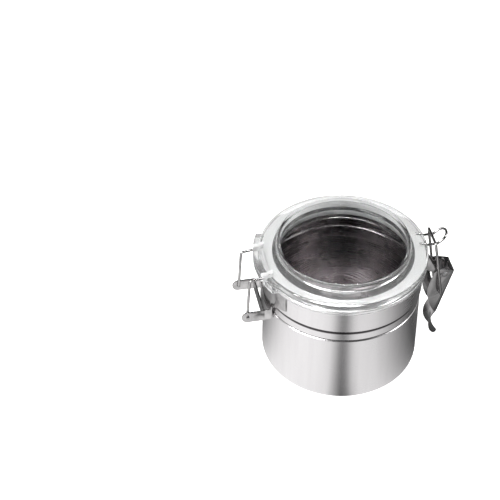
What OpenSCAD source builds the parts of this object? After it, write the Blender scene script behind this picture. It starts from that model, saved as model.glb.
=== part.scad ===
// Clamp-lid food canister: drawn steel pot, clear lid with a seal, wire hinge and toggle latch.
// Z is up, the origin is the centre of the base, the latch is at +X and the hinge at -X.

/* [Pot] */
// Outer diameter of the pot's wall
pot_d = 112.6; // [90:0.2:160]
// Height from the base to the top of the rolled rim
pot_h = 89.5; // [85:0.5:150]
// Thickness of the drawn sheet
sheet = 0.6; // [0.4:0.1:0.9]
// Outer radius of the turn from the wall into the base
base_turn = 10; // [6:0.5:14]
// How far the middle of the base is raised off the table
base_kick = 1.2; // [0.8:0.1:2]
// How far the neck stands out from the wall
neck_out = 0.9; // [0.5:0.1:2]
// Height of the neck, from its lower step to the top of the rim
neck_h = 20.2; // [18:0.1:26]
// How far the band under the neck sits inside the wall
band_in = 0.7; // [0.3:0.1:1.5]
// Height of the band under the neck
band_h = 9.6; // [6:0.1:14]
// Radius of the bead that the rim is rolled to
rim_bead = 1.1; // [0.9:0.1:1.6]

/* [Lid] */
// Gap between the neck and the skirt of the lid
skirt_gap = 0.8; // [0.6:0.1:1.5]
// Thickness of the skirt
skirt_t = 2; // [1.5:0.1:3]
// How far the skirt reaches down past the rim
skirt_drop = 1.5; // [1:0.1:3]
// Height of the flange, from the foot of the skirt to its outer top edge
flange_h = 9.6; // [8.5:0.1:13]
// Width of the flange, from the plug to the outer edge
flange_w = 10.8; // [9.5:0.1:14]
// How far the flange rises from its outer edge to the raised middle
flange_rise = 2.4; // [1:0.1:3]
// Height of the raised middle above the flange
crown_h = 4.9; // [3:0.1:8]
// Wall thickness of the plug and the raised middle
lid_wall = 2.4; // [2:0.1:3.5]
// How far the plug reaches down into the pot from the top of the rim
plug_drop = 5.5; // [4:0.1:8]
// How far the hinge boss stands out from the flange
boss_out = 4; // [3.5:0.1:6]
// Width of the hinge boss
boss_w = 56; // [44:1:70]

/* [Seal] */
// Thickness of the seal on top of the rim
seal_t = 1.4; // [1:0.1:2.5]
// Gap between the rim and the seal with the lid down
seal_gap = 0.15; // [0.1:0.05:0.5]
// How far the inner lip of the seal hangs down beside the plug
seal_lip = 3; // [2:0.1:4]

/* [Hinge] */
// Diameter of the hinge wire
hinge_wire_d = 2; // [1.6:0.1:2.4]
// Distance between the two legs of the hinge wire
hinge_span = 31; // [26:0.5:38]
// How far the hinge pins stand out from the neck
hinge_pin_out = 14.8; // [13:0.1:20]
// How far the hinge pins lie below the rim
hinge_pin_drop = 30.4; // [26:0.1:34]
// How far the cross bar lies inside the neck's outer face
hinge_bar_in = 1.2; // [0:0.1:2]
// Height of the cross bar above the rim
hinge_bar_up = 3.9; // [3.6:0.1:5]
// Height of the yoke's strip
yoke_h = 9; // [7:0.5:11]
// Distance from the neck to the yoke's web
yoke_gap = 2.8; // [2:0.1:5]
// Sheet thickness of the saddles, the yoke and the latch bracket
plate = 1; // [0.8:0.1:1.2]

/* [Latch] */
// How far the lever's rivet stands out from the neck
rivet_out = 17.5; // [15:0.1:22]
// How far the lever's rivet lies below the rim
rivet_drop = 23.3; // [20:0.1:28]
// Diameter of the rivet's shank
rivet_d = 2.8; // [2.2:0.1:3.4]
// Width over the lever's cheeks
lever_w = 15.2; // [13:0.1:18]
// Sheet thickness of the lever
lever_t = 1; // [0.8:0.1:1.2]
// Length of the lever's cheeks along its web
cheek_l = 40; // [36:0.5:44]
// Depth of the cheeks from the web
cheek_d = 14; // [12:0.5:15]
// Lean of the web with the latch closed
lever_lean = 15.8; // [12:0.2:18]
// Length of the finger tab
tab_l = 26.8; // [20:0.2:28]
// Bend radius of the finger tab
tab_bend = 30; // [24:1:45]
// Width of the finger tab
tab_w = 14; // [11:0.1:15]
// How deep the finger tab is dished towards the pot
tab_dish = 3.6; // [1:0.1:4.5]
// Diameter of the bail wire
bail_wire_d = 2; // [1.6:0.1:2.4]
// Gap between the lever's cheeks and the legs of the bail
bail_side = 1.1; // [1:0.1:2]
// Distance down from the rivet to the bail's feet
bail_foot_drop = 17.1; // [15:0.1:19]
// Distance of the bail's feet from the rivet towards the pot
bail_foot_in = 2.3; // [1.5:0.1:4]
// Diameter of the catch wire
catch_wire_d = 2; // [1.6:0.1:2.2]
// Distance between the two legs of the catch wire
catch_span = 11; // [9:0.5:13]
// Height of the catch wire above the rim
catch_up = 5.5; // [5.2:0.1:6.5]
// How far the catch wire runs out of the lid before it turns up
catch_out = 7.2; // [6.5:0.1:9]
// Slope of the catch wire's tongue
catch_slope = 40; // [30:1:50]

/* [Fits] */
// Radial clearance of a wire or rivet that turns in its hole
turn_fit = 0.08; // [0.04:0.01:0.1]
// Side clearance between parts that slide past each other
side_gap = 0.4; // [0.25:0.05:0.6]
// Clearance between the cross bar of the bail and the catch wire below it
bail_slack = 1; // [0.9:0.05:1.5]

/* [Hidden] */
$fn = 64;
round_fn = 180;                              // for the large curved faces that plates lie on
eps = 0.01;
bend_swell = 0.03;                           // a bent wire is this much thicker at its bends
bend_lap = 0.15;                             // the straight lengths run this far into the bends
tight_bend = 1.1;                            // centre-line radius where a wire turns into a hole

// Pot
pot_r = pot_d / 2;
neck_r = pot_r + neck_out;
band_r = pot_r - band_in;
neck_z = pot_h - neck_h;
band_z = neck_z - band_h;
step_h = 1.3;                                // height over which the wall steps in or out
kick_w = 5;                                  // width of the slope up to the raised base
foot_w = 4;                                  // width of the flat ring the pot stands on

// Lid
lid_r = neck_r + skirt_gap + skirt_t;
skirt_z = pot_h - skirt_drop;
flange_under_z = pot_h + seal_gap + seal_t;
flange_edge_z = skirt_z + flange_h;
plug_r = lid_r - flange_w;
plug_z = pot_h - plug_drop;
crown_foot_z = flange_edge_z + flange_rise;
crown_z = crown_foot_z + crown_h;
flange_round = 2.2;
boss_r = lid_r + boss_out;
boss_edge = 1.2;                             // the boss starts and ends this far inside the flange's height

// Hinge
pin_x = -(neck_r + hinge_pin_out);
pin_z = pot_h - hinge_pin_drop;
bar_x = -(neck_r - hinge_bar_in);
bar_z = pot_h + hinge_bar_up;
hinge_y = hinge_span / 2;
hinge_bend = 2.6;                            // centre-line radius of the wire's bends
wire_fall = 1.8;                             // how far the legs fall from the cross bar to their bend
leg_top_x = pin_x + 1.4;
arm_in = hinge_y + hinge_wire_d / 2 + 0.2;   // inner face of the yoke's arms
arm_out = arm_in + plate;
pin_end = 1.2;                               // how far the wire's ends show outside the arms
web_x = -(neck_r + yoke_gap);                // inner face of the yoke's web
notch_w = hinge_wire_d + 1.2;
saddle_r = neck_r + plate;
saddle_top = skirt_z - 2;                    // the plates on the neck end just under the lid
wing_y = hinge_y * 2.06;                     // half width of the hinge saddle
wing_h = 12.2;                               // height of the saddle's wings at their ends
wing_slope_y = hinge_y * 1.6;                // where the slope under the wings starts
wing_slope_h = 14.6;
tongue_h = 20;                               // from the saddle's top to where its tongue starts

// Latch
rivet_x = neck_r + rivet_out;
rivet_z = pot_h - rivet_drop;
cheek_out = lever_w / 2;
cheek_in = cheek_out - lever_t;
ear_out = cheek_in - side_gap;
ear_in = ear_out - plate;
ear_tip = 4.1;                               // radius of the ear around the rivet
web_off = 5.74;                              // from the rivet's centre to the outer face of the web
web_top = 4.5;                               // web above the rivet, measured along the web
cheek_flat = 13;                             // length of the straight part of the cheek's free edge
cheek_round = 5;
cheek_end = 1.4;                             // depth of the cheeks where the tab starts
tab_rows = 16;                               // steps along the tab
tab_columns = 12;                            // steps across the tab
tab_straight = 0.55;                         // share of the tab's length before its rounded end
tab_seat = 0.5;                              // the tab runs this far up into the web
tab_turn = tab_l / tab_bend * 180 / PI;
foot_x = rivet_x - bail_foot_in;
foot_z = rivet_z - bail_foot_drop;
bail_y = cheek_out + bail_side + bail_wire_d / 2;
catch_y = catch_span / 2;
catch_z = pot_h + catch_up;
catch_x = lid_r + catch_out;                 // where the catch wire turns up
catch_root_x = lid_r - 6.5;                  // where the catch wire ends inside the flange
tongue_l = 4.4;                              // straight part of the tongue, before its round end
catch_bend = 2.4;
bail_x = catch_x - 2.4;
bail_z = catch_z + catch_wire_d / 2 + bail_wire_d / 2 + bail_slack;
bail_bend = 2;

// Points on an arc, from angle a0 to a1
function arc(c, r, a0, a1, n = 8) = [
    for (i = [0 : n]) let (a = a0 + (a1 - a0) * i / n) c + r * [cos(a), sin(a)]
];
function unit(v) = v / norm(v);
// A path moved sideways by t, corner by corner
function side(p, i) = let (d = unit(p[min(i + 1, len(p) - 1)] - p[max(i - 1, 0)])) [-d.y, d.x];
function moved(p, t) = [for (i = [0 : len(p) - 1]) p[i] + t * side(p, i)];
function reversed(p) = [for (i = [len(p) - 1 : -1 : 0]) p[i]];
function turn_at(p, i) = acos(max(-1, min(1, unit(p[i] - p[i - 1]) * unit(p[i + 1] - p[i]))));
function setback(p, i, r) = r[i] * tan(r[i] > 0 ? turn_at(p, i) / 2 : 0);

// A straight round rod from a to b, run on by the lap at both ends
module rod(a, b, d, lap_a = 0, lap_b = 0) {
    v = unit(b - a);
    translate(a - v * lap_a) rotate([0, acos(v.z), atan2(v.y, v.x)])
        cylinder(d = d, h = norm(b - a) + lap_a + lap_b);
}

// A bend about c that starts at c + r * x, heading along y
module bend(c, x, y, r, turn, d) {
    z = cross(x, y);
    multmatrix([[x.x, y.x, z.x, c.x], [x.y, y.y, z.y, c.y], [x.z, y.z, z.z, c.z], [0, 0, 0, 1]])
        rotate_extrude(angle = turn) translate([r, 0]) circle(d = d + 2 * bend_swell);
}

// The bend of a wire at corner i of path p
module elbow(p, i, d, r) {
    u = unit(p[i] - p[i - 1]);
    w = unit(p[i + 1] - p[i]);
    n = unit(w - (w * u) * u);
    bend(p[i] - u * setback(p, i, r) + n * r[i], -n, u, r[i], turn_at(p, i), d);
}

// A wire along path p, with a list of centre-line radii for its corners
module wire(p, d, r) {
    last = len(p) - 1;
    for (i = [0 : last - 1]) {
        v = unit(p[i + 1] - p[i]);
        rod(p[i] + v * setback(p, i, r), p[i + 1] - v * setback(p, i + 1, r), d,
            i == 0 ? 0 : bend_lap, i + 1 == last ? 0 : bend_lap);
    }
    for (i = [1 : last - 1]) elbow(p, i, d, r);
}

// Extrudes a side view drawn in X and Z, centred on the XZ plane
module side_plate(w, y = 0) {
    translate([0, y + w / 2, 0]) rotate([90, 0, 0]) linear_extrude(w) children();
}

// Both of a mirrored pair
module both_sides() {
    children();
    mirror([0, 1, 0]) children();
}

// Drawn pot: kicked-up base, wall, band, neck and rolled rim in one sheet
module canister_body() {
    outer = concat(
        [[0, base_kick], [pot_r - base_turn - kick_w - foot_w, base_kick]],
        [[pot_r - base_turn - foot_w, 0], [pot_r - base_turn, 0]],
        arc([pot_r - base_turn, base_turn], base_turn, -84, 0, 14),
        [[pot_r, band_z - step_h / 2], [band_r, band_z + step_h / 2]],
        [[band_r, neck_z - step_h / 2], [neck_r, neck_z + step_h / 2]],
        [[neck_r, pot_h - rim_bead]]
    );
    inner = moved(outer, sheet);
    color("silver") {
        rotate_extrude() polygon(concat(outer, reversed([for (q = inner) [max(q.x, 0), q.y]])));
        rotate_extrude() translate([neck_r - rim_bead, pot_h - rim_bead]) circle(rim_bead, $fn = 32);
    }
}

// Curved plate on the neck, cut to an outline drawn in Y and Z
module on_neck(toward) {
    intersection() {
        difference() {
            cylinder(r = saddle_r, h = pot_h, $fn = round_fn);
            translate([0, 0, -1]) cylinder(r = neck_r, h = pot_h + 2, $fn = round_fn);
        }
        rotate([90, 0, toward > 0 ? 90 : -90]) linear_extrude(neck_r + 5) children();
    }
}

// Plate spot-welded to the neck, with two short flanges that carry the yoke
module hinge_saddle() {
    tongue = arm_in + plate / 2;
    flange_y = arm_in - plate / 2;
    color("lightgray") {
        on_neck(-1) polygon([
            [-wing_y, saddle_top], [-wing_y, saddle_top - wing_h],
            [-wing_slope_y, saddle_top - wing_slope_h],
            [-tongue, saddle_top - tongue_h], [-tongue, pin_z - yoke_h / 2],
            [tongue, pin_z - yoke_h / 2], [tongue, saddle_top - tongue_h],
            [wing_slope_y, saddle_top - wing_slope_h], [wing_y, saddle_top - wing_h], [wing_y, saddle_top]
        ]);
        both_sides() difference() {
            translate([web_x, flange_y, pin_z - yoke_h / 2]) cube([pot_r * 0.4, plate, yoke_h]);
            translate([0, 0, pin_z - yoke_h]) cylinder(r = neck_r, h = yoke_h * 2, $fn = round_fn);
        }
    }
}

// Strip bent to a U, whose arms hold the ends of the hinge wire
module hinge_yoke() {
    color("silver") {
        translate([web_x - plate, -arm_out, pin_z - yoke_h / 2]) cube([plate, arm_out * 2, yoke_h]);
        both_sides() difference() {
            side_plate(plate, arm_in + plate / 2) {
                translate([pin_x, pin_z]) circle(yoke_h / 2);
                translate([pin_x, pin_z - yoke_h / 2]) square([web_x - pin_x, yoke_h]);
            }
            translate([pin_x, 0, pin_z]) rotate([-90, 0, 0])
                cylinder(r = hinge_wire_d / 2 + turn_fit, h = arm_out + 5);
        }
    }
}

// Wire frame: cross bar in the lid, two legs, two ends in the yoke
module hinge_wire() {
    end_y = arm_out + pin_end;
    color("silver") wire([
        [pin_x, -end_y, pin_z], [pin_x, -hinge_y, pin_z], [leg_top_x, -hinge_y, bar_z - wire_fall],
        [bar_x, -hinge_y, bar_z], [bar_x, hinge_y, bar_z],
        [leg_top_x, hinge_y, bar_z - wire_fall], [pin_x, hinge_y, pin_z], [pin_x, end_y, pin_z]
    ], hinge_wire_d, [0, tight_bend, hinge_bend, tight_bend, tight_bend, hinge_bend, tight_bend, 0]);
}

// Clear lid: raised middle, thick flange, plug and skirt, with the hinge boss
module lid() {
    crown_r = plug_r - 1.2;                  // foot of the raised middle
    crown_edge = 1.4;
    crown_in = crown_r - lid_wall;
    ceiling_z = crown_z - lid_wall - 0.8;    // the raised middle is thicker than its wall
    hollow_round = 1.4;
    outline = concat(
        [[0, crown_z]],
        arc([crown_r - 0.9 - crown_edge, crown_z - crown_edge], crown_edge, 90, 12, 6),
        [[crown_r, crown_foot_z + 1.1], [crown_r + 0.5, crown_foot_z + 0.3], [plug_r + 0.3, crown_foot_z]],
        arc([lid_r - flange_round, flange_edge_z - flange_round], flange_round, 78, 0, 8),
        arc([lid_r - 0.5, skirt_z + 0.5], 0.5, 0, -90, 3),
        [[lid_r - skirt_t + 0.3, skirt_z], [lid_r - skirt_t, skirt_z + 0.3]],
        [[lid_r - skirt_t, flange_under_z], [plug_r, flange_under_z]],
        arc([plug_r - 1, plug_z + 1], 1, 0, -90, 4),
        arc([plug_r - lid_wall + 0.8, plug_z + 0.8], 0.8, -90, -180, 4),
        arc([crown_in - hollow_round, ceiling_z - hollow_round], hollow_round, 0, 90, 6),
        [[0, ceiling_z]]
    );
    color("whitesmoke", 0.5) difference() {
        union() {
            rotate_extrude() polygon(outline);
            intersection() {
                difference() {
                    translate([0, 0, skirt_z + boss_edge / 2])
                        cylinder(r = boss_r, h = flange_h - 1.5 * boss_edge);
                    translate([0, 0, skirt_z - 1]) cylinder(r = lid_r - 0.3, h = flange_h + 2);
                }
                translate([-boss_r - 1, -boss_w / 2, skirt_z - 1]) cube([boss_r, boss_w, flange_h + 2]);
            }
        }
        both_sides() {
            translate([-boss_r - 1, hinge_y - notch_w / 2, flange_under_z + 0.6])
                cube([boss_r + 1 + bar_x + notch_w / 2, notch_w, flange_h]);
            translate([-boss_r - 1, hinge_y - notch_w / 2, skirt_z - 1])
                cube([boss_r + 1 - lid_r + 2, notch_w, flange_h]);
            translate([catch_root_x, catch_y, catch_z]) rotate([0, 90, 0])
                cylinder(d = catch_wire_d, h = lid_r);
        }
        translate([bar_x, -hinge_y - eps, bar_z]) rotate([-90, 0, 0])
            cylinder(r = hinge_wire_d / 2 + turn_fit, h = hinge_span + 2 * eps);
    }
}

// Silicone seal: a flat ring over the rim and a lip beside the plug
module lid_gasket() {
    in_r = plug_r + 0.1;
    low = pot_h + seal_gap;
    color("white") rotate_extrude() polygon([
        [in_r, flange_under_z], [neck_r, flange_under_z], [neck_r, low],
        [in_r + 2.4, low], [in_r + 1.9, low - seal_lip], [in_r, low - seal_lip]
    ]);
}

// Wire tongue set in the lid, which the bail hooks over
module catch_wire() {
    up = [cos(catch_slope), 0, sin(catch_slope)];
    corner = [catch_x, catch_y, catch_z];
    path = [[catch_root_x, catch_y, catch_z], corner, corner + up];
    turned = catch_bend * tan(catch_slope / 2);
    color("silver") {
        both_sides() {
            rod(path[0], corner - [turned, 0, 0], catch_wire_d, 0, bend_lap);
            elbow(path, 1, catch_wire_d, [0, catch_bend, 0]);
            rod(corner + up * turned, corner + up * tongue_l, catch_wire_d, bend_lap, bend_lap);
        }
        bend([catch_x, 0, catch_z] + up * tongue_l, [0, 1, 0], up, catch_y, 180, catch_wire_d);
    }
}

// Plate spot-welded to the neck under the latch
module latch_saddle() {
    half = lever_w;
    low = neck_z + step_h;
    cut = 4.5;                               // cut across the two lower corners
    color("lightgray") on_neck(1) polygon([
        [-half, saddle_top], [-half, low + cut], [-half + cut, low],
        [half - cut, low], [half, low + cut], [half, saddle_top]
    ]);
}

// Folded bracket whose two ears hold the lever's rivet
module latch_bracket() {
    top = saddle_top - 2;
    foot = neck_z + 2;
    seat = saddle_r + plate;
    crest = ear_tip * 0.85;                  // the ears stay inside the sweep of the lever's web
    color("silver") difference() {
        union() {
            translate([saddle_r - plate, -ear_out, foot]) cube([plate * 2, ear_out * 2, top - foot]);
            both_sides() side_plate(plate, ear_in + plate / 2) difference() {
                union() {
                    translate([rivet_x, rivet_z]) circle(ear_tip);
                    polygon([
                        [seat - plate, top], [seat + 2, top],
                        [rivet_x - web_off, rivet_z + crest], [rivet_x, rivet_z + crest],
                        [rivet_x, rivet_z - ear_tip], [seat + 2, foot], [seat - plate, foot]
                    ]);
                }
                translate([rivet_x, rivet_z]) circle(d = rivet_d);
            }
        }
        translate([0, 0, foot - 1]) cylinder(r = saddle_r, h = top - foot + 2, $fn = round_fn);
    }
}

// Rivet through the lever's cheeks and the bracket's ears
module lever_rivet() {
    head_y = cheek_out + 0.1;
    color("gray") translate([rivet_x, 0, rivet_z]) {
        rotate([90, 0, 0]) cylinder(d = rivet_d, h = head_y * 2, center = true);
        both_sides() translate([0, head_y, 0]) rotate([-90, 0, 0]) {
            cylinder(d = rivet_d * 1.6, h = 0.35);
            translate([0, 0, 0.35]) cylinder(d1 = rivet_d * 1.6, d2 = rivet_d, h = 0.35);
        }
    }
}

// Moves a side view from the web's own frame to the closed lever's place
module web_frame() {
    translate([rivet_x, rivet_z]) rotate(-lever_lean) translate([web_off, web_top]) children();
}

module cheek_2d() {
    run = cheek_l - cheek_flat;
    drop = cheek_d - cheek_end;
    r = (run * run + drop * drop) / (2 * drop);
    polygon(concat(
        [[0, 0]],
        arc([-(cheek_d - cheek_round), -cheek_round], cheek_round, 90, 180, 6),
        arc([r - cheek_d, -cheek_flat], r, 180, 180 + asin(run / r), 12),
        [[0, -cheek_l]]
    ));
}

// Curved slot beside the bail's foot
module cheek_slot_2d() {
    slot_r = 21;
    slot_w = 2.2;
    intersection() {
        translate([foot_x - 4.2 + slot_r, foot_z + 10.2]) difference() {
            circle(slot_r);
            circle(slot_r - slot_w);
        }
        translate([foot_x - 8, foot_z + 1.4]) square([8, 17.2]);
    }
}

// Half width of the tab at share u of its length, and how far it is dished there
function tab_half(u) =
    let (narrow = cheek_out - eps * 5 - (cheek_out - tab_w / 2) * min(1, u / tab_straight))
    let (round_u = max(0, u - tab_straight) / (1 - tab_straight))
    narrow * sqrt(max(0.02, 1 - round_u * round_u));
function tab_sag(u) = tab_dish * (1 - pow(1 - min(1, u / tab_straight), 2));

// A point of the tab in the web's frame; deep is the distance from its outer face
function tab_point(u, v, deep) =
    let (y = tab_half(u) * v, a = 180 + tab_turn * u)
    let (r = tab_bend + deep + tab_sag(u) * pow(y / cheek_out, 2))
    [tab_bend + r * cos(a), y, -cheek_l + r * sin(a) + (u == 0 ? tab_seat : 0)];

// Finger tab: a curved, dished spoon that runs on from the web
module tab() {
    wide = tab_columns + 1;
    layer = wide * (tab_rows + 1);
    skin = [eps * 3, lever_t - eps * 3];     // a hair thinner than the web that it joins
    points = [for (deep = skin) for (i = [0 : tab_rows]) for (j = [0 : tab_columns])
        tab_point(i / tab_rows, 2 * j / tab_columns - 1, deep)];
    rim = concat(
        [for (j = [0 : tab_columns - 1]) j],
        [for (i = [0 : tab_rows - 1]) i * wide + tab_columns],
        [for (j = [tab_columns : -1 : 1]) tab_rows * wide + j],
        [for (i = [tab_rows : -1 : 1]) i * wide]
    );
    around = len(rim);
    polyhedron(points, concat(
        [for (i = [0 : tab_rows - 1]) for (j = [0 : tab_columns - 1])
            let (k = i * wide + j) each [[k, k + 1, k + wide], [k + 1, k + wide + 1, k + wide]]],
        [for (i = [0 : tab_rows - 1]) for (j = [0 : tab_columns - 1])
            let (k = layer + i * wide + j) each [[k, k + wide, k + 1], [k + 1, k + wide, k + wide + 1]]],
        [for (m = [0 : around - 1]) let (p = rim[m], q = rim[(m + 1) % around])
            each [[p, layer + p, q], [q, layer + p, layer + q]]]
    ));
}

// Channel-shaped toggle lever with a dished finger tab
module latch_lever() {
    color("silver") {
        both_sides() side_plate(lever_t, cheek_in + lever_t / 2) difference() {
            web_frame() cheek_2d();
            translate([rivet_x, rivet_z]) circle(r = rivet_d / 2 + turn_fit);
            translate([foot_x, foot_z]) circle(r = bail_wire_d / 2 + turn_fit);
            cheek_slot_2d();
        }
        side_plate(lever_w) web_frame() translate([-lever_t, -cheek_l]) square([lever_t, cheek_l]);
        translate([rivet_x, 0, rivet_z]) rotate([0, lever_lean, 0]) translate([web_off, 0, web_top]) tab();
    }
}

// Wire bail: cross bar over the catch, two legs, two feet in the lever
module latch_bail() {
    foot_y = cheek_in - 1;
    color("silver") wire([
        [foot_x, -foot_y, foot_z], [foot_x, -bail_y, foot_z], [bail_x, -bail_y, bail_z],
        [bail_x, bail_y, bail_z], [foot_x, bail_y, foot_z], [foot_x, foot_y, foot_z]
    ], bail_wire_d, [0, tight_bend, bail_bend, bail_bend, tight_bend, 0]);
}

canister_body();
hinge_saddle();
hinge_yoke();
hinge_wire();
lid();
lid_gasket();
catch_wire();
latch_saddle();
latch_bracket();
lever_rivet();
latch_lever();
latch_bail();
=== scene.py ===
import math

import bmesh
import bpy
from mathutils import Euler, Matrix, Quaternion, Vector


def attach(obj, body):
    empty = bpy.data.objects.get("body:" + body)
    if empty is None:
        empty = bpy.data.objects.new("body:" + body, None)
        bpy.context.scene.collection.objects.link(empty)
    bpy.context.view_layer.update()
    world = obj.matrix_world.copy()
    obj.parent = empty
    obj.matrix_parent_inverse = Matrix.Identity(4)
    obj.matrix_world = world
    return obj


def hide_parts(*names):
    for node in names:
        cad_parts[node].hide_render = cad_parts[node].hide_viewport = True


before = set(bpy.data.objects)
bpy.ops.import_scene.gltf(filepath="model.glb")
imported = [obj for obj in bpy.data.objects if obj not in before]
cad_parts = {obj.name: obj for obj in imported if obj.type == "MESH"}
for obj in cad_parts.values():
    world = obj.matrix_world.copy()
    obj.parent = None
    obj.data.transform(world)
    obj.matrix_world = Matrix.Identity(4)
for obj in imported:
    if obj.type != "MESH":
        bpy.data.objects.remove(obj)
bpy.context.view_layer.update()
print("frame loaded:", sorted(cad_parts))

mm = 0.001                                     # sizes in the dictionaries are in millimetres


# nodes and trees

def addNode(tree, kind, links=None, **settings):
    node = tree.nodes.new(kind)
    for key, value in settings.items():
        setattr(node, key, value)
    for name, source in (links or {}).items():
        if isinstance(source, bpy.types.NodeSocket):
            tree.links.new(source, node.inputs[name])
        else:
            node.inputs[name].default_value = source
    return node


def calc(tree, operation, first, second=0.0):
    return addNode(tree, "ShaderNodeMath", {0: first, 1: second}, operation=operation).outputs[0]


def newShapeTree(name, inputs):
    tree = bpy.data.node_groups.new(name, "GeometryNodeTree")
    tree.interface.new_socket("Guide", in_out="INPUT", socket_type="NodeSocketGeometry")
    for label, kind in inputs.items():
        tree.interface.new_socket(label, in_out="INPUT", socket_type="NodeSocket" + kind)
    tree.interface.new_socket("Piece", in_out="OUTPUT", socket_type="NodeSocketGeometry")
    return tree, tree.nodes.new("NodeGroupInput").outputs, tree.nodes.new("NodeGroupOutput").inputs


def makeLatheTree():
    # turns an outline (radius in X, height in Z) about the Z axis; "push" swells part of a rim
    tree, given, result = newShapeTree("turnedShape", {
        "Rows": "Int", "Segments": "Int", "Boss radius": "Float", "Boss half angle": "Float",
        "Finish": "Material", "Inside finish": "Material", "Inside from row": "Int"})
    columns = calc(tree, "ADD", given["Segments"], 1)
    grid = addNode(tree, "GeometryNodeMeshGrid", {"Vertices X": given["Rows"], "Vertices Y": columns})
    index = addNode(tree, "GeometryNodeInputIndex").outputs[0]
    row = calc(tree, "FLOOR", calc(tree, "DIVIDE", calc(tree, "ADD", index, 0.5), columns))
    column = calc(tree, "SUBTRACT", index, calc(tree, "MULTIPLY", row, columns))
    turn = calc(tree, "MULTIPLY", calc(tree, "DIVIDE", column, given["Segments"]), 2 * math.pi)
    place = addNode(tree, "GeometryNodeInputPosition").outputs[0]
    outline = addNode(tree, "GeometryNodeSampleIndex",
                      {"Geometry": given["Guide"], "Value": place, "Index": row}, data_type="FLOAT_VECTOR")
    pushed = addNode(tree, "GeometryNodeInputNamedAttribute", {"Name": "push"}, data_type="FLOAT")
    push = addNode(tree, "GeometryNodeSampleIndex",
                   {"Geometry": given["Guide"], "Value": pushed.outputs[0], "Index": row}, data_type="FLOAT")
    parts = addNode(tree, "ShaderNodeSeparateXYZ", {0: outline.outputs[0]}).outputs
    fromBack = calc(tree, "ABSOLUTE", calc(tree, "SUBTRACT", turn, math.pi))
    atBack = calc(tree, "LESS_THAN", fromBack, given["Boss half angle"])
    inBoss = calc(tree, "MULTIPLY", push.outputs[0], atBack)
    swell = calc(tree, "MULTIPLY", calc(tree, "SUBTRACT", given["Boss radius"], parts["X"]), inBoss)
    radius = calc(tree, "ADD", parts["X"], swell)
    spot = addNode(tree, "ShaderNodeCombineXYZ", {
        "X": calc(tree, "MULTIPLY", radius, calc(tree, "COSINE", turn)),
        "Y": calc(tree, "MULTIPLY", radius, calc(tree, "SINE", turn)), "Z": parts["Z"]}).outputs[0]
    placed = addNode(tree, "GeometryNodeSetPosition", {"Geometry": grid.outputs["Mesh"], "Position": spot})
    first = addNode(tree, "GeometryNodeSetMaterial",
                    {"Geometry": placed.outputs[0], "Material": given["Finish"]})
    centre = addNode(tree, "GeometryNodeFieldAtIndex", {"Value": row, "Index": index}, data_type="FLOAT")
    inner = calc(tree, "GREATER_THAN", centre.outputs[0], given["Inside from row"])
    second = addNode(tree, "GeometryNodeSetMaterial", {
        "Geometry": first.outputs[0], "Selection": inner, "Material": given["Inside finish"]})
    merged = addNode(tree, "GeometryNodeMergeByDistance", {"Geometry": second.outputs[0], "Distance": 2e-6})
    smooth = addNode(tree, "GeometryNodeSetShadeSmooth", {"Geometry": merged.outputs[0]})
    real = addNode(tree, "GeometryNodeRealizeInstances", {"Geometry": smooth.outputs[0]})
    tree.links.new(real.outputs[0], result["Piece"])
    return tree


def makeWireTree():
    # round wire along a line of points, each with its own bend radius
    tree, given, result = newShapeTree("bentWire", {
        "Diameter": "Float", "Sides": "Int", "Steps in a bend": "Int", "Finish": "Material"})
    line = addNode(tree, "GeometryNodeMeshToCurve", {"Mesh": given["Guide"]})
    bend = addNode(tree, "GeometryNodeInputNamedAttribute", {"Name": "bend"}, data_type="FLOAT")
    filleted = addNode(tree, "GeometryNodeFilletCurve", {
        "Curve": line.outputs[0], "Count": given["Steps in a bend"], "Radius": bend.outputs[0]}, mode="POLY")
    section = addNode(tree, "GeometryNodeCurvePrimitiveCircle", {
        "Resolution": given["Sides"], "Radius": calc(tree, "MULTIPLY", given["Diameter"], 0.5)})
    tube = addNode(tree, "GeometryNodeCurveToMesh", {
        "Curve": filleted.outputs[0], "Profile Curve": section.outputs["Curve"], "Fill Caps": True})
    smooth = addNode(tree, "GeometryNodeSetShadeSmooth", {"Geometry": tube.outputs[0]})
    real = addNode(tree, "GeometryNodeRealizeInstances", {"Geometry": smooth.outputs[0]})
    dressed = addNode(tree, "GeometryNodeSetMaterial", {
        "Geometry": real.outputs[0], "Material": given["Finish"]})
    tree.links.new(dressed.outputs[0], result["Piece"])
    return tree


def guideObject(name, points, attribute, values):
    mesh = bpy.data.meshes.new(name)
    mesh.from_pydata([[c * mm for c in p] for p in points], [(i, i + 1) for i in range(len(points) - 1)], [])
    mesh.attributes.new(attribute, "FLOAT", "POINT").data.foreach_set("value", [float(v) for v in values])
    guide = bpy.data.objects.new(name, mesh)
    bpy.context.scene.collection.objects.link(guide)
    return guide


def shapeFrom(guide, tree, values, name):
    modifier = guide.modifiers.new("shape", "NODES")
    modifier.node_group = tree
    for item in tree.interface.items_tree:
        if item.in_out == "INPUT" and item.name in values:
            modifier[item.identifier] = values[item.name]
    bpy.context.view_layer.update()
    depsgraph = bpy.context.evaluated_depsgraph_get()
    mesh = bpy.data.meshes.new_from_object(guide.evaluated_get(depsgraph))
    mesh.name = name
    bpy.data.objects.remove(guide)
    piece = bpy.data.objects.new(name, mesh)
    bpy.context.scene.collection.objects.link(piece)
    return piece


def applyModifiers(piece):
    bpy.context.view_layer.update()
    depsgraph = bpy.context.evaluated_depsgraph_get()
    mesh = bpy.data.meshes.new_from_object(piece.evaluated_get(depsgraph))
    piece.modifiers.clear()
    old = piece.data
    piece.data = mesh
    bpy.data.meshes.remove(old)


def faceOutward(piece):
    shell = bmesh.new()
    shell.from_mesh(piece.data)
    bmesh.ops.recalc_face_normals(shell, faces=shell.faces)
    shell.to_mesh(piece.data)
    shell.free()


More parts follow.
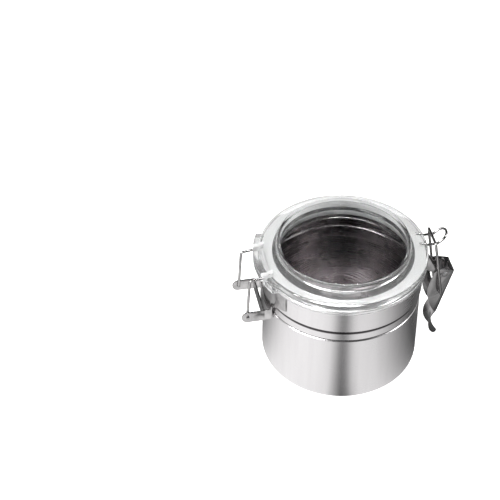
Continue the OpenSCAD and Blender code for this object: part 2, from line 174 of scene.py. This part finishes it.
def smoothTo(piece, degrees):
    piece.data.shade_smooth()
    piece.data.set_sharp_from_angle(angle=math.radians(degrees))


def finishPiece(piece, body, slot, *nodes):
    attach(piece, body)
    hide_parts(*nodes)
    print("piece", piece.name, len(piece.data.polygons), "faces")


# outlines

def arc(x, z, r, start, end, steps=8):
    angles = [math.radians(start + (end - start) * i / steps) for i in range(steps + 1)]
    return [(x + r * math.cos(a), z + r * math.sin(a)) for a in angles]


def stepCurve(x0, z0, x1, z1, steps=10):
    # soft S from one radius to the next
    line = []
    for i in range(steps + 1):
        t = i / steps
        line.append((x0 + (x1 - x0) * (3 * t * t - 2 * t * t * t), z0 + (z1 - z0) * t))
    return line


def inset(line, t):
    # the same line moved sideways by the sheet's thickness
    moved = []
    for i, (x, z) in enumerate(line):
        ax, az = line[max(i - 1, 0)]
        bx, bz = line[min(i + 1, len(line) - 1)]
        length = math.hypot(bx - ax, bz - az)
        moved.append((x - t * (bz - az) / length, z + t * (bx - ax) / length))
    return moved


# finishes

def newFinish(name):
    material = bpy.data.materials.new(name)
    material.use_nodes = True
    tree = material.node_tree
    shader = next(n for n in tree.nodes if n.type == "BSDF_PRINCIPLED")
    place = addNode(tree, "ShaderNodeTexCoord").outputs["Object"]
    return material, tree, shader, place


def noiseAt(tree, vector, scale, detail=3.0, roughness=0.55):
    return addNode(tree, "ShaderNodeTexNoise", {
        "Vector": vector, "Scale": scale, "Detail": detail, "Roughness": roughness}).outputs["Fac"]


def spread(tree, value, low, high, fromLow=0.3, fromHigh=0.7):
    return addNode(tree, "ShaderNodeMapRange", {
        "Value": value, "From Min": fromLow, "From Max": fromHigh, "To Min": low, "To Max": high}).outputs[0]


def tinted(tree, factor, first, second):
    # first is a color, or the output that the color has so far
    under = first if isinstance(first, bpy.types.NodeSocket) else (*first, 1)
    return addNode(tree, "ShaderNodeMix", {"Factor": factor, 6: under, 7: (*second, 1)},
                   data_type="RGBA").outputs[2]


def fromAxis(tree, parts):
    squares = [calc(tree, "MULTIPLY", parts[side], parts[side]) for side in "XY"]
    return calc(tree, "SQRT", calc(tree, "ADD", *squares))


def turnedSteel(name, look):
    # sheet polished on a lathe: fine rings round the axis, faint streaks along it
    material, tree, shader, place = newFinish(name)
    parts = addNode(tree, "ShaderNodeSeparateXYZ", {0: place}).outputs
    around = calc(tree, "ARCTAN2", parts["Y"], parts["X"])
    out = fromAxis(tree, parts)
    rings = addNode(tree, "ShaderNodeCombineXYZ", {
        "X": calc(tree, "MULTIPLY", around, look["ringDrift"]),
        "Y": calc(tree, "MULTIPLY", out, look["ringPitch"]),
        "Z": calc(tree, "MULTIPLY", parts["Z"], look["ringPitch"])}).outputs[0]
    streaks = addNode(tree, "ShaderNodeCombineXYZ", {
        "X": calc(tree, "MULTIPLY", around, look["streaks"]),
        "Y": calc(tree, "MULTIPLY", parts["Z"], look["streakDrift"])}).outputs[0]
    fine = noiseAt(tree, rings, 1.0, 4)
    drawn = noiseAt(tree, streaks, 1.0, 3)
    cloud = noiseAt(tree, place, 55, 2)
    mixed = calc(tree, "ADD", calc(tree, "MULTIPLY", fine, 0.5), calc(tree, "MULTIPLY", cloud, 0.5))
    tree.links.new(spread(tree, mixed, *look["roughness"]), shader.inputs["Roughness"])
    steel = tinted(tree, spread(tree, drawn, 0, 1), look["color"], look["streakColor"])
    if look["paintedReflectionBands"]:                          # painted reflection: broad soft dark bands round the axis, standing in for reflected light and dark
        turned = calc(tree, "SUBTRACT", around, look["paintedReflectionTurn"])
        wave = calc(tree, "COSINE", calc(tree, "MULTIPLY", turned, look["paintedReflectionBands"]))
        steel = tinted(tree, spread(tree, wave, 0, look["paintedReflectionDepth"], -1, 1), steel, look["paintedReflectionColor"])
    height = calc(tree, "DIVIDE", parts["Z"], mm)
    for paintedShadeHeight, width in look["paintedShadeLines"]:          # painted shade: a darker tone in a band at each listed height, where a step folds in
        away = calc(tree, "ABSOLUTE", calc(tree, "SUBTRACT", height, paintedShadeHeight))
        steel = tinted(tree, spread(tree, away, 1, 0, width * 0.6, width), steel, look["paintedShadeColor"])
    tree.links.new(steel, shader.inputs["Base Color"])
    shader.inputs["Metallic"].default_value = 1
    bump = addNode(tree, "ShaderNodeBump", {
        "Strength": look["bump"], "Distance": 0.00002, "Height": fine})
    tree.links.new(bump.outputs[0], shader.inputs["Normal"])
    return material


def pressedSteel(name, look):
    # rolled sheet or drawn wire with long fine lines, small scratches and dull patches
    material, tree, shader, place = newFinish(name)
    along = addNode(tree, "ShaderNodeMapping", {"Vector": place, "Scale": look["grain"]}).outputs[0]
    grain = noiseAt(tree, along, 1.0, 5, 0.6)
    patches = noiseAt(tree, place, look["patches"], 3)
    scratch = addNode(tree, "ShaderNodeTexNoise", {
        "Vector": along, "Scale": 0.35, "Detail": 2.0, "Distortion": 1.5}).outputs["Fac"]
    mixed = calc(tree, "ADD", calc(tree, "MULTIPLY", grain, 0.45), calc(tree, "MULTIPLY", patches, 0.55))
    tree.links.new(spread(tree, mixed, *look["roughness"]), shader.inputs["Roughness"])
    tree.links.new(tinted(tree, spread(tree, patches, 0, 1), look["color"], look["dullColor"]),
                   shader.inputs["Base Color"])
    shader.inputs["Metallic"].default_value = 1
    height = calc(tree, "ADD", grain, calc(tree, "MULTIPLY", scratch, 0.6))
    bump = addNode(tree, "ShaderNodeBump", {
        "Strength": look["bump"], "Distance": 0.00003, "Height": height})
    tree.links.new(bump.outputs[0], shader.inputs["Normal"])
    return material


def clearAcrylic(name, look):
    material, tree, shader, place = newFinish(name)
    shader.inputs["Base Color"].default_value = (*look["color"], 1)
    shader.inputs["IOR"].default_value = look["ior"]
    parts = addNode(tree, "ShaderNodeSeparateXYZ", {0: place}).outputs
    tree.links.new(spread(tree, fromAxis(tree, parts), look["transmission"], look["hazy"], *look["hazeFrom"]),
                   shader.inputs["Transmission Weight"])
    wear = noiseAt(tree, place, look["wear"], 4)
    stretched = addNode(tree, "ShaderNodeMapping", {"Vector": place, "Scale": (900, 120, 300)}).outputs[0]
    hair = noiseAt(tree, stretched, 1.0, 2)
    mixed = calc(tree, "ADD", calc(tree, "MULTIPLY", wear, 0.6), calc(tree, "MULTIPLY", hair, 0.4))
    tree.links.new(spread(tree, mixed, *look["roughness"]), shader.inputs["Roughness"])
    ripple = noiseAt(tree, place, look["ripple"], 1)
    bump = addNode(tree, "ShaderNodeBump", {"Strength": look["bump"], "Distance": 0.0001, "Height": ripple})
    tree.links.new(bump.outputs[0], shader.inputs["Normal"])
    return material


def softSilicone(name, look):
    material, tree, shader, place = newFinish(name)
    cloud = noiseAt(tree, place, look["cloud"], 3)
    tree.links.new(tinted(tree, spread(tree, cloud, 0, 1), look["color"], look["cloudColor"]),
                   shader.inputs["Base Color"])
    tree.links.new(spread(tree, cloud, *look["roughness"]), shader.inputs["Roughness"])
    shader.inputs["IOR"].default_value = 1.41
    shader.inputs["Transmission Weight"].default_value = look["transmission"]
    grain = noiseAt(tree, place, 2600, 2)
    bump = addNode(tree, "ShaderNodeBump", {"Strength": 0.15, "Distance": 0.00002, "Height": grain})
    tree.links.new(bump.outputs[0], shader.inputs["Normal"])
    return material


satinOutside = turnedSteel("satinOutside", {
    "color": (0.80, 0.785, 0.79), "streakColor": (0.77, 0.752, 0.76), "roughness": (0.21, 0.29),
    "ringPitch": 2400, "ringDrift": 2.0, "streaks": 14, "streakDrift": 12, "bump": 0.06,
    "paintedReflectionBands": 0,
    # painted shade: dark lines below the neck step and at the band step, standing in for the dark reflection
    # under each overhang
    "paintedShadeLines": [(67.6, 1.9), (60.35, 0.35)], "paintedShadeColor": (0.06, 0.055, 0.058)})
# the inside of the same sheet, given a darker colour than the outside as painted shade inside the pot
satinInsidePaintedLight = turnedSteel("satinInsidePaintedLight", {
    "color": (0.66, 0.62, 0.635), "streakColor": (0.56, 0.525, 0.538), "roughness": (0.22, 0.32),
    "ringPitch": 2400, "ringDrift": 2.0, "streaks": 9, "streakDrift": 4, "bump": 0.06,
    # painted reflection: six soft dark bands round the axis stand in for the lights' streaks reflected inside
    # the pot
    "paintedReflectionBands": 6, "paintedReflectionTurn": 1.29, "paintedReflectionDepth": 0.9, "paintedReflectionColor": (0.13, 0.118, 0.123),
    # painted shade: a darker line on the underside of the rim curl, inside the pot
    "paintedShadeLines": [(88.0, 0.5)], "paintedShadeColor": (0.2, 0.19, 0.195)})
brightPlate = pressedSteel("brightPlate", {
    "color": (0.58, 0.57, 0.57), "dullColor": (0.40, 0.392, 0.394), "roughness": (0.1, 0.22),
    "grain": (260, 900, 3200), "patches": 130, "bump": 0.3})
brightWire = pressedSteel("brightWire", {
    "color": (0.52, 0.51, 0.51), "dullColor": (0.36, 0.355, 0.355), "roughness": (0.06, 0.16),
    "grain": (900, 900, 900), "patches": 240, "bump": 0.2})
dullRivet = pressedSteel("dullRivet", {
    "color": (0.46, 0.45, 0.46), "dullColor": (0.36, 0.35, 0.36), "roughness": (0.25, 0.42),
    "grain": (1500, 1500, 1500), "patches": 500, "bump": 0.4})
clearLid = clearAcrylic("clearLid", {
    "color": (0.985, 0.99, 0.99), "ior": 1.49, "roughness": (0.0, 0.02),
    "transmission": 1.0, "hazy": 0.93, "hazeFrom": (0.0462, 0.048),   # clear middle, hazier wall and flange
    "wear": 160, "ripple": 45, "bump": 0.05})
milkySeal = softSilicone("milkySeal", {
    "color": (0.95, 0.95, 0.945), "cloudColor": (0.90, 0.90, 0.895), "roughness": (0.35, 0.5),
    "transmission": 0.0, "cloud": 90})
print("finishes made")

latheTree = makeLatheTree()
wireTree = makeWireTree()


def turnedPiece(name, line, segments, finish, inside=None, insideFrom=None, push=None, boss=(0.0, 0.0)):
    # boss is the radius and half angle of the part that "push" swells
    guide = guideObject(name + "Guide", [(x, 0, z) for x, z in line], "push", push or [0] * len(line))
    piece = shapeFrom(guide, latheTree, {
        "Rows": len(line), "Segments": segments, "Boss radius": boss[0], "Boss half angle": boss[1],
        "Finish": finish, "Inside finish": inside or finish,
        "Inside from row": insideFrom or len(line)}, name)
    faceOutward(piece)
    return piece


# the drawn pot

potLook = {
    "sheet": 0.6, "wallRadius": 56.3, "bandRadius": 55.6, "neckRadius": 57.2,
    "bandLow": 59.7, "neckLow": 69.3, "rim": 89.5, "bead": 1.1, "step": 1.3,
    "baseTurn": 10, "footWidth": 4, "slopeWidth": 5, "kick": 1.2,
    "segments": 256}


def potOutline(look):
    wall, turn, half = look["wallRadius"], look["baseTurn"], look["step"] / 2
    flatEdge = wall - turn
    slopeEdge = flatEdge - look["footWidth"] - look["slopeWidth"]
    outer = [(0, look["kick"]), (slopeEdge * 0.5, look["kick"])]
    outer += stepCurve(slopeEdge, look["kick"], slopeEdge + look["slopeWidth"], 0, 8)[:-1]
    outer += [(flatEdge - look["footWidth"] + 0.6, 0)]
    outer += arc(flatEdge, turn, turn, -90, 0, 20)
    outer += [(wall, z) for z in (20, 32, 44, 54)]
    outer += stepCurve(wall, look["bandLow"] - half, look["bandRadius"], look["bandLow"] + half, 12)
    outer += [(look["bandRadius"], (look["bandLow"] + look["neckLow"]) / 2)]
    outer += stepCurve(look["bandRadius"], look["neckLow"] - half,
                       look["neckRadius"], look["neckLow"] + half, 12)
    outer += [(look["neckRadius"], z) for z in (74, 79, 84)]
    beadX, beadZ = look["neckRadius"] - look["bead"], look["rim"] - look["bead"]
    outer += [(look["neckRadius"], beadZ - 0.3)]
    inner = inset(outer, look["sheet"])
    inner[0] = (0, look["kick"] + look["sheet"])
    bead = arc(beadX, beadZ, look["bead"], 0, 285, 22)
    inner = [p for p in inner if p[1] < beadZ - look["bead"]]
    line = outer + bead + [(inner[-1][0], inner[-1][1])] + inner[::-1][1:]
    return line, len(outer) + 14


outline, insideFrom = potOutline(potLook)
pot = turnedPiece("pot", outline, potLook["segments"], satinOutside, satinInsidePaintedLight, insideFrom)
smoothTo(pot, 50)
finishPiece(pot, "canister", "pot_steel", "canister_body")

# the clear lid

lidLook = {
    "edge": 60.0, "skirtIn": 58.0, "skirtFoot": 88.0, "underFlange": 91.05, "flangeEdge": 97.6, "round": 2.2,
    "plug": 49.2, "plugFoot": 84.0, "wall": 2.4,
    "crownFoot": 100.0, "crownTop": 104.9, "crownEdge": 1.4, "hollowRound": 1.4,
    "bossRadius": 64.0, "bossMiddle": 62, "bossHalfWidth": 28.0, "bossLow": 88.6, "bossHigh": 96.4,
    "notch": 3.2,
    "notchY": 15.5, "notchFloor": 91.65, "notchEnd": -54.4, "barX": -56.0, "barZ": 93.4, "barBore": 1.08,
    "segments": 288}


def lidOutline(look):
    foot = look["plug"] - 1.2
    inside = foot - look["wall"]
    ceiling = look["crownTop"] - look["wall"] - 0.8
    line = [(x, look["crownTop"], 0) for x in (0, 20, 36)]
    edge = look["crownEdge"]
    line += [(x, z, 0) for x, z in arc(foot - 0.7 - edge, look["crownTop"] - edge, edge, 90, 8, 8)]
    line += [(x, z, 0) for x, z in arc(foot + 1.3, look["crownFoot"] + 1.3, 1.3, 188, 255, 6)]
    line += [(look["plug"] + 0.8, look["crownFoot"] - 0.1, 0), (53, look["crownFoot"] - 0.95, 0)]
    soft = look["round"]
    for x, z in arc(look["edge"] - soft, look["flangeEdge"] - soft, soft, 74, 0, 12):
        if z > look["bossHigh"] + 0.1:
            line.append((x, z, 0))
    high = look["bossHigh"]
    line += [(59.78, high + 0.02, 0), (59.8, high, 0.9), (59.85, high - 0.25, 1)]
    line += [(look["edge"], z, 1) for z in (95.2, 92.5, 90.2, look["bossLow"] + 0.3)]
    line += [(look["edge"], look["bossLow"], 0.9), (look["edge"] - 0.01, look["bossLow"] - 0.02, 0)]
    line += [(x, z, 0) for x, z in arc(look["edge"] - 0.5, look["skirtFoot"] + 0.5, 0.5, 0, -90, 5)]
    line += [(x, z, 0) for x, z in arc(look["skirtIn"] + 0.4, look["skirtFoot"] + 0.4, 0.4, -90, -180, 5)]
    line += [(x, z, 0) for x, z in arc(look["skirtIn"] - 0.5, look["underFlange"] - 0.5, 0.5, 0, 90, 5)]
    line += [(x, z, 0) for x, z in arc(look["plug"] + 0.4, look["underFlange"] - 0.4, 0.4, 90, 180, 5)]
    line += [(x, z, 0) for x, z in arc(look["plug"] - 1, look["plugFoot"] + 1, 1, 0, -90, 7)]
    inner = look["plug"] - look["wall"]
    line += [(x, z, 0) for x, z in arc(inner + 0.8, look["plugFoot"] + 0.8, 0.8, -90, -180, 6)]
    hollow = look["hollowRound"]
    line += [(x, z, 0) for x, z in arc(inside - hollow, ceiling - hollow, hollow, 0, 90, 10)]
    return line + [(20, ceiling, 0), (0, ceiling, 0)]


def prism(name, sideView, y, width):
    # a side view in X and Z, given a width along Y
    points = [(x * mm, (y - width / 2) * mm, z * mm) for x, z in sideView]
    points += [(x * mm, (y + width / 2) * mm, z * mm) for x, z in sideView]
    n = len(sideView)
    faces = [list(range(n)), list(range(2 * n - 1, n - 1, -1))]
    faces += [[i, i + n, (i + 1) % n + n, (i + 1) % n] for i in range(n)]
    mesh = bpy.data.meshes.new(name)
    mesh.from_pydata(points, [], faces)
    cutter = bpy.data.objects.new(name, mesh)
    bpy.context.scene.collection.objects.link(cutter)
    faceOutward(cutter)
    return cutter


def cutFrom(piece, cutters):
    for cutter in cutters:
        modifier = piece.modifiers.new(cutter.name, "BOOLEAN")
        modifier.operation = "DIFFERENCE"
        modifier.solver = "EXACT"
        modifier.object = cutter
    applyModifiers(piece)
    for cutter in cutters:
        bpy.data.objects.remove(cutter)


profile = lidOutline(lidLook)
bossSide = math.asin(lidLook["bossHalfWidth"] / lidLook["bossMiddle"])
lidPiece = turnedPiece(
    "clearLidShell", [(x, z) for x, z, p in profile], lidLook["segments"], clearLid,
    push=[p for x, z, p in profile], boss=(lidLook["bossRadius"] * mm, bossSide))
out, end = -lidLook["bossRadius"] - 1, lidLook["notchEnd"]
under, floorZ, over, skirtX = 87, lidLook["notchFloor"], 102, -lidLook["skirtIn"]
notchView = [(out, under), (skirtX, under), (skirtX, floorZ), (end, floorZ), (end, over), (out, over)]
notches = [prism("notch", notchView, side * lidLook["notchY"], lidLook["notch"]) for side in (-1, 1)]
boreView = arc(lidLook["barX"], lidLook["barZ"], lidLook["barBore"], 0, 360, 32)[:-1]
cutFrom(lidPiece, notches + [prism("bore", boreView, 0, 2 * lidLook["notchY"])])
smoothTo(lidPiece, 38)
finishPiece(lidPiece, "lid", "clear_lid", "lid")

# the seal

sealLook = {"inner": 49.3, "outer": 57.2, "top": 91.02, "low": 89.65, "lip": 86.65, "segments": 192}
r0, r1, top, low, lip = (sealLook[k] for k in ("inner", "outer", "top", "low", "lip"))
sealLine = [(r0 + 1, top), (r1 - 0.3, top)] + arc(r1 - 0.3, top - 0.3, 0.3, 90, 0, 4)
sealLine += arc(r1 - 0.3, low + 0.3, 0.3, 0, -90, 4) + [(r0 + 2.6, low), (r0 + 2.35, low - 0.2)]
sealLine += [(r0 + 1.9, lip + 0.4)] + arc(r0 + 0.95, lip + 0.5, 0.5, 0, -180, 6)[1:]
sealLine += [(r0, lip + 0.7), (r0, top - 0.2), (r0 + 0.2, top), (r0 + 1, top)]
seal = turnedPiece("sealRing", sealLine, sealLook["segments"], milkySeal)
smoothTo(seal, 50)
finishPiece(seal, "lid", "seal_silicone", "lid_gasket")
print("pot, lid and seal done")

# the wires

hingeWireLook = {
    "diameter": 2.0, "pinX": -72.0, "pinZ": 59.1, "endY": 18.9, "legY": 15.5, "legTopX": -70.6,
    "barX": -56.0, "barZ": 93.4, "fall": 1.8, "tight": 1.1, "bend": 2.6}
catchWireLook = {
    "diameter": 2.0, "rootX": 53.5, "turnX": 67.2, "y": 5.5, "z": 95.0,
    "slope": 40, "tongue": 4.4, "bend": 2.4}
bailWireLook = {
    "diameter": 2.0, "footX": 72.4, "footZ": 49.1, "footY": 5.6, "legY": 9.7, "barX": 64.8, "barZ": 98.0,
    "tight": 1.1, "bend": 2.0}


def bentWire(name, look, points, bends, body, node):
    guide = guideObject(name + "Guide", points, "bend", [b * mm for b in bends])
    piece = shapeFrom(guide, wireTree, {
        "Diameter": look["diameter"] * mm, "Sides": 24, "Steps in a bend": 12, "Finish": brightWire}, name)
    faceOutward(piece)
    smoothTo(piece, 50)
    finishPiece(piece, body, "wire_steel", node)
    return piece


h = hingeWireLook
bentWire("hingeWire", h, [
    (h["pinX"], -h["endY"], h["pinZ"]), (h["pinX"], -h["legY"], h["pinZ"]),
    (h["legTopX"], -h["legY"], h["barZ"] - h["fall"]), (h["barX"], -h["legY"], h["barZ"]),
    (h["barX"], h["legY"], h["barZ"]), (h["legTopX"], h["legY"], h["barZ"] - h["fall"]),
    (h["pinX"], h["legY"], h["pinZ"]), (h["pinX"], h["endY"], h["pinZ"])],
    [0, h["tight"], h["bend"], h["tight"], h["tight"], h["bend"], h["tight"], 0], "hinge_wire", "hinge_wire")

c = catchWireLook
reach = c["tongue"] + c["y"]
tipX = c["turnX"] + reach * math.cos(math.radians(c["slope"]))
tipZ = c["z"] + reach * math.sin(math.radians(c["slope"]))
bentWire("catchWire", c, [
    (c["rootX"], -c["y"], c["z"]), (c["turnX"], -c["y"], c["z"]), (tipX, -c["y"], tipZ),
    (tipX, c["y"], tipZ), (c["turnX"], c["y"], c["z"]), (c["rootX"], c["y"], c["z"])],
    [0, c["bend"], c["y"] - 0.005, c["y"] - 0.005, c["bend"], 0], "lid", "catch_wire")

b = bailWireLook
bentWire("bailWire", b, [
    (b["footX"], -b["footY"], b["footZ"]), (b["footX"], -b["legY"], b["footZ"]),
    (b["barX"], -b["legY"], b["barZ"]), (b["barX"], b["legY"], b["barZ"]),
    (b["footX"], b["legY"], b["footZ"]), (b["footX"], b["footY"], b["footZ"])],
    [0, b["tight"], b["bend"], b["bend"], b["tight"], 0], "bail", "latch_bail")
print("wires done")

# the pressed plates, with their edges eased

plateLook = {
    "hingeSaddle": {"node": "hinge_saddle", "body": "canister", "edge": 0.18},
    "hingeYoke": {"node": "hinge_yoke", "body": "canister", "edge": 0.28},
    "latchSaddle": {"node": "latch_saddle", "body": "canister", "edge": 0.18},
    "latchBracket": {"node": "latch_bracket", "body": "canister", "edge": 0.2},
    "toggleLever": {"node": "latch_lever", "body": "lever", "edge": 0.3}}


def easedPlate(name, look):
    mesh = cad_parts[look["node"]].data.copy()
    shell = bmesh.new()
    shell.from_mesh(mesh)
    bmesh.ops.remove_doubles(shell, verts=shell.verts, dist=2e-6)
    bmesh.ops.dissolve_limit(shell, angle_limit=math.radians(0.4), verts=shell.verts, edges=shell.edges)
    shell.to_mesh(mesh)
    shell.free()
    mesh.materials.clear()
    mesh.materials.append(brightPlate)
    piece = bpy.data.objects.new(name, mesh)
    bpy.context.scene.collection.objects.link(piece)
    bevel = piece.modifiers.new("easedEdges", "BEVEL")
    bevel.width = look["edge"] * mm
    bevel.segments = 3
    bevel.limit_method = "ANGLE"
    bevel.angle_limit = math.radians(38)
    applyModifiers(piece)
    smoothTo(piece, 32)
    finishPiece(piece, look["body"], "plate_steel", look["node"])
    return piece


for name, look in plateLook.items():
    easedPlate(name, look)

# the rivet

rivetLook = {"x": 74.7, "z": 66.2, "shank": 1.4, "head": 2.24, "reach": 7.7, "dome": 0.7, "segments": 40}


def rivetPiece(look):
    half = look["reach"]
    line = [(0, half + look["dome"])] + arc(0, half + 0.06, look["head"], 90, 18, 7)[1:]
    line = [(x, half + 0.06 + (z - half - 0.06) * look["dome"] / look["head"]) for x, z in line]
    line += [(look["head"], half + 0.06), (look["head"] - 0.05, half), (look["shank"], half)]
    whole = line + [(x, -z) for x, z in reversed(line)]
    piece = turnedPiece("leverRivet", whole, look["segments"], dullRivet)
    place = Matrix.Translation((look["x"] * mm, 0, look["z"] * mm)) @ Matrix.Rotation(math.pi / 2, 4, "X")
    piece.data.transform(place)
    faceOutward(piece)
    smoothTo(piece, 40)
    finishPiece(piece, "canister", "rivet_steel", "lever_rivet")


rivetPiece(rivetLook)
print("plates and rivet done")

# stage, light and camera

stageLook = {"size": 60.0, "drop": 0.0002, "color": (0.9, 0.9, 0.9), "glow": 0.95}
bounceLook = {                                 # grey card under the pot, from its left round to its right
    "radius": 2.9, "drop": 0.0001, "front": -106,
    "shades": [(-180, 0.32), (-158, 0.85), (-132, 0.6), (-118, 0.12), (-103, 0.3), (-87, 0.56),
               (-75, 0.82), (-62, 1.02), (-41, 1.1), (-20, 1.04), (-8, 0.95), (-2, 0.5), (4, 0.15),
               (9, 0.25), (15, 0.72), (22, 0.92), (39, 0.84), (54, 0.62), (63, 0.48), (73, 0.33),
               (84, 0.2), (97, 0.08), (118, 0.12), (136, 0.6), (160, 0.8), (180, 0.32)]}
skyLook = {"heights": [(0.0, 0.3), (0.25, 0.12), (0.5, 0.02), (0.8, 0.02), (0.95, 0.15)],
           "sideStart": 0.6, "sideFull": 0.95, "sideGlow": 0.45, "turn": -12}
lightLook = [
    {"name": "leftSoftbox", "place": (-1.1, -0.9, 0.9), "size": (0.7, 1.2), "power": 14},
    {"name": "rightSoftbox", "place": (1.2, -0.5, 0.8), "size": (0.6, 1.2), "power": 8},
    {"name": "backSoftbox", "place": (0.1, 1.4, 0.35), "size": (1.6, 0.3), "power": 4},
    {"name": "topSoftbox", "place": (0, -0.25, 1.0), "size": (0.35, 0.12), "power": 3},
    {"name": "sideStrip", "place": (-0.9, -0.3, 0.6), "size": (0.1, 0.7), "power": 5},
    {"name": "softFill", "place": (-0.2, -0.4, 1.3), "size": (1.0, 1.0), "power": 15, "matteOnly": True}]
cameraLook = {
    "place": (-0.26195, -0.91546, 0.92447), "down": 41.149, "heading": -12.0, "roll": 0.6685,
    "lens": 128.7}


def makeFloor(look):
    material = bpy.data.materials.new("paleFloor")
    material.use_nodes = True
    shader = next(n for n in material.node_tree.nodes if n.type == "BSDF_PRINCIPLED")
    shader.inputs["Base Color"].default_value = (*look["color"], 1)
    shader.inputs["Roughness"].default_value = 0.9
    shader.inputs["Emission Color"].default_value = (1, 1, 1, 1)
    shader.inputs["Emission Strength"].default_value = look["glow"]
    half, z = look["size"] / 2, -look["drop"]
    mesh = bpy.data.meshes.new("floor")
    corners = [(-half, -half, z), (half, -half, z), (half, half, z), (-half, half, z)]
    mesh.from_pydata(corners, [], [(0, 1, 2, 3)])
    mesh.materials.append(material)
    floor = bpy.data.objects.new("floor", mesh)
    bpy.context.scene.collection.objects.link(floor)
    floor.visible_glossy = False
    floor.visible_transmission = False


def makeBounceCard(look):
    # the metal sees this card, the camera doesn't
    material = bpy.data.materials.new("bounceShades")
    material.use_nodes = True
    tree = material.node_tree
    tree.nodes.clear()
    place = addNode(tree, "ShaderNodeTexCoord").outputs["Object"]
    turned = addNode(tree, "ShaderNodeMapping", {
        "Vector": place, "Rotation": (0, 0, math.radians(-look["front"]))})
    parts = addNode(tree, "ShaderNodeSeparateXYZ", {0: turned.outputs[0]}).outputs
    around = calc(tree, "DIVIDE", calc(tree, "ARCTAN2", parts["Y"], parts["X"]), 2 * math.pi)
    stops = [((angle + 180) / 360, grey) for angle, grey in look["shades"]]
    ramp = greyRamp(tree, calc(tree, "ADD", around, 0.5), stops)
    glow = addNode(tree, "ShaderNodeEmission", {"Color": ramp})
    output = addNode(tree, "ShaderNodeOutputMaterial")
    tree.links.new(glow.outputs[0], output.inputs[0])
    edge = [(look["radius"] * math.cos(a), look["radius"] * math.sin(a), -look["drop"])
            for a in [math.radians(3 * i) for i in range(120)]]
    mesh = bpy.data.meshes.new("bounceCard")
    mesh.from_pydata(edge, [], [list(range(120))])
    mesh.materials.append(material)
    card = bpy.data.objects.new("bounceCard", mesh)
    bpy.context.scene.collection.objects.link(card)
    card.visible_camera = False
    card.visible_diffuse = False
    card.visible_shadow = False


def greyRamp(tree, factor, shades):
    ramp = addNode(tree, "ShaderNodeValToRGB", {0: factor})
    stops = ramp.color_ramp.elements
    while len(stops) < len(shades):
        stops.new(1.0)
    for stop, (position, grey) in zip(stops, shades):
        stop.position = position
        stop.color = (grey, grey, grey, 1)
    return ramp.outputs[0]


def makeLight(look):
    data = bpy.data.lights.new(look["name"], "AREA")
    data.shape = "RECTANGLE"
    data.size, data.size_y = look["size"]
    data.energy = look["power"]
    light = bpy.data.objects.new(look["name"], data)
    light.location = look["place"]
    light.visible_glossy = not look.get("matteOnly", False)
    light.rotation_euler = (Vector((0, 0, 0.05)) - light.location).to_track_quat("-Z", "Y").to_euler()
    bpy.context.scene.collection.objects.link(light)


def makeSky(look):
    world = bpy.data.worlds.new("studio")
    world.use_nodes = True
    tree = world.node_tree
    tree.nodes.clear()
    place = addNode(tree, "ShaderNodeTexCoord").outputs["Generated"]
    turned = addNode(tree, "ShaderNodeMapping", {
        "Vector": place, "Rotation": (0, 0, math.radians(-look["turn"]))})
    parts = addNode(tree, "ShaderNodeSeparateXYZ", {0: turned.outputs[0]}).outputs
    heights = greyRamp(tree, parts["Z"], look["heights"])
    sideways = calc(tree, "ABSOLUTE", parts["X"])
    side = spread(tree, sideways, 0, look["sideGlow"], look["sideStart"], look["sideFull"])
    strength = calc(tree, "ADD", heights, side)
    background = addNode(tree, "ShaderNodeBackground", {"Strength": strength})
    background.inputs["Color"].default_value = (1, 1, 1, 1)
    output = addNode(tree, "ShaderNodeOutputWorld")
    tree.links.new(background.outputs[0], output.inputs[0])
    bpy.context.scene.world = world


makeFloor(stageLook)
makeBounceCard(bounceLook)
for look in lightLook:
    makeLight(look)
makeSky(skyLook)

cameraData = bpy.data.cameras.new("camera")
cameraData.lens = cameraLook["lens"]
cameraData.sensor_width = 36
cameraData.clip_start = 0.05
camera = bpy.data.objects.new("camera", cameraData)
camera.location = cameraLook["place"]
aim = Euler((math.radians(90 - cameraLook["down"]), 0, math.radians(cameraLook["heading"]))).to_quaternion()
camera.rotation_mode = "QUATERNION"
camera.rotation_quaternion = aim @ Quaternion((0, 0, 1), math.radians(cameraLook["roll"]))
bpy.context.scene.collection.objects.link(camera)
bpy.context.scene.camera = camera
bpy.context.scene.view_settings.view_transform = "Standard"
print("stage done")

bpy.context.view_layer.update()
